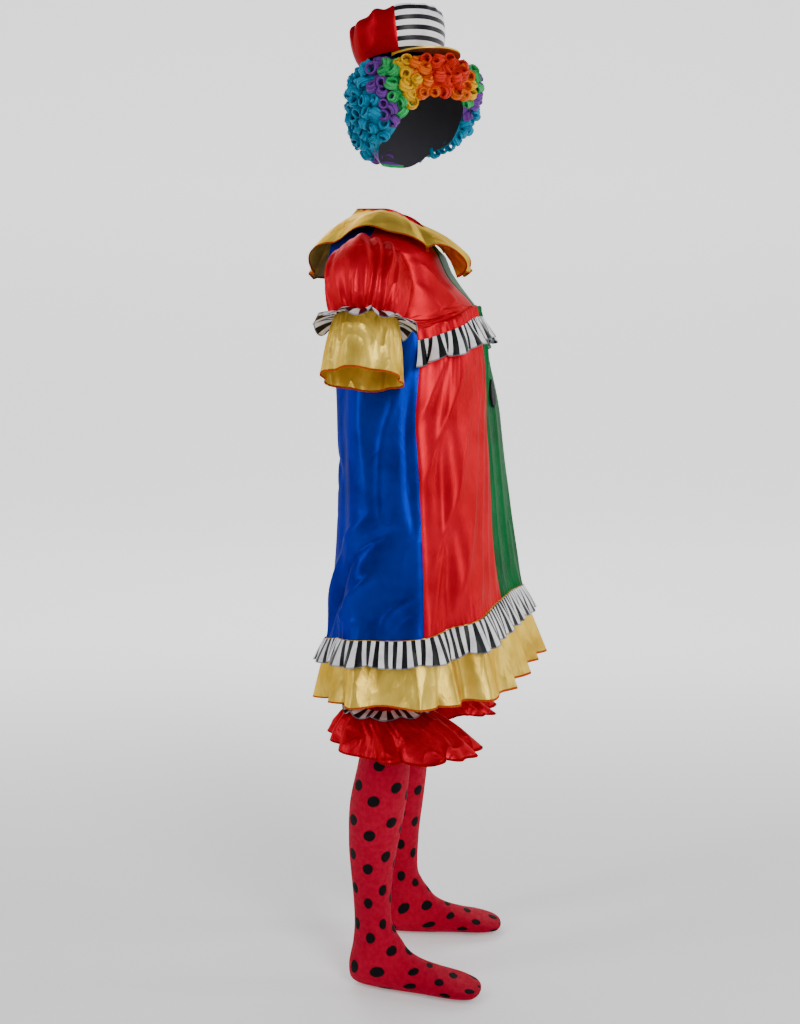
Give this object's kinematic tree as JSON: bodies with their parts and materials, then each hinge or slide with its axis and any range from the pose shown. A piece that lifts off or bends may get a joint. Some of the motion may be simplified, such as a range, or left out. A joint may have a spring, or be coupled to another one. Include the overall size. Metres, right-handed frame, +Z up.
{
  "type": "clown costume",
  "caption": "Clown costume as worn: a collared flared dress with puff sleeves and flounces, bloomers gathered below the knee, dotted stockings, a curly wig and a peaked cap.",
  "frame": {"origin": "middle of the neck base, where the wearer carries the dress; the soles are 1.365 m below it", "axes": "+Z up, the wearer faces -Y and has their left hand on +X; the head is turned 29 degrees to the wearer's right"},
  "size_m": [0.6877, 0.4101, 1.7569],
  "materials": {
    "right_front_satin": "satin, red",
    "left_front_satin": "satin, green",
    "back_satin": "satin, blue",
    "sleeve_satin": "satin, red",
    "gold_satin": "satin, gold, with orange-red overlocked edges",
    "striped_satin": "satin, black and white stripes",
    "spot_cloth": "plain cloth, black",
    "bloomer_satin": "satin, red",
    "stocking_knit": "fine knit, red with black dots",
    "wig_curls": "curled fibre in bands of many colours",
    "hat_red_satin": "satin, red",
    "hat_blue_satin": "satin, blue"
  },
  "bodies": {
    "root": {"bodice_front_right": "right_front_satin", "skirt_front_right": "right_front_satin", "bodice_front_left": "left_front_satin", "skirt_front_left": "left_front_satin", "back_right": "back_satin", "back_left": "back_satin", "sleeve_right": "sleeve_satin", "sleeve_left": "sleeve_satin", "neck_binding": "sleeve_satin", "collar": "gold_satin", "sleeve_flounce_right": "gold_satin", "sleeve_flounce_left": "gold_satin", "hem_flounce": "gold_satin", "hat_peak": "gold_satin", "bust_ruffle": "striped_satin", "hem_ruffle": "striped_satin", "sleeve_ruffle_right": "striped_satin", "sleeve_ruffle_left": "striped_satin", "knee_ruffle_right": "striped_satin", "knee_ruffle_left": "striped_satin", "hat_gore_front": "striped_satin", "front_spot": "spot_cloth", "bloomer_waistband": "bloomer_satin", "bloomer_right": "bloomer_satin", "bloomer_left": "bloomer_satin", "knee_flounce_right": "bloomer_satin", "knee_flounce_left": "bloomer_satin", "stocking_right": "stocking_knit", "stocking_left": "stocking_knit", "wig": "wig_curls", "hat_gore_right": "hat_red_satin", "hat_gore_back": "hat_blue_satin", "hat_gore_left": "hat_blue_satin"}
  },
  "joints": []
}
